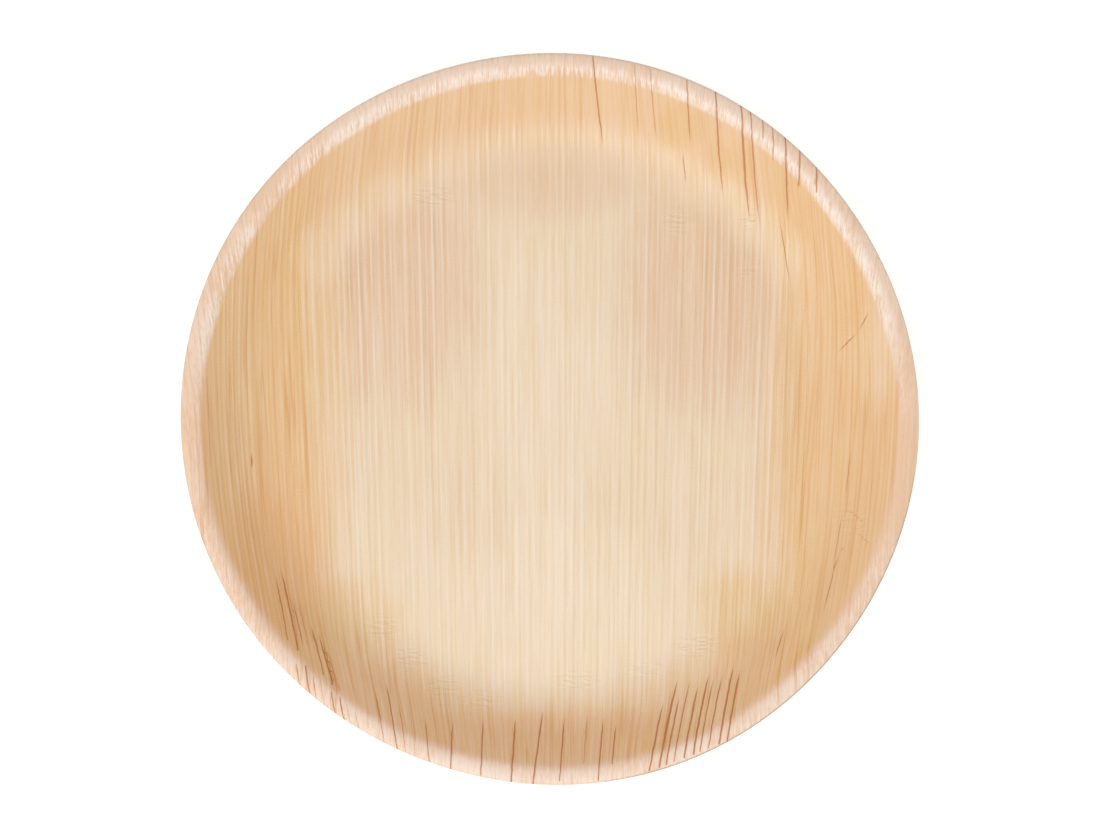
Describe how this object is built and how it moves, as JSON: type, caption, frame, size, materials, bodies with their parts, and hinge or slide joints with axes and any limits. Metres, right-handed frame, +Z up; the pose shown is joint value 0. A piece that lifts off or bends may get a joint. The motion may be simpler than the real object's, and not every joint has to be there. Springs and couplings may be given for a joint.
{
  "type": "palm leaf plate",
  "caption": "Round disposable plate pressed from a single palm leaf sheath, with a flat base, a deep curved wall and a narrow rolled rim.",
  "frame": {"origin": "centre of the base's underside, on the table", "axes": "+Z up, out of the open side; the leaf's veins run along Y; the oval rim is widest close to X"},
  "size_m": [0.2508, 0.2493, 0.0253],
  "materials": {
    "leaf": "satin, with fine raised veins"
  },
  "bodies": {
    "root": {"plate": "leaf"}
  },
  "joints": []
}
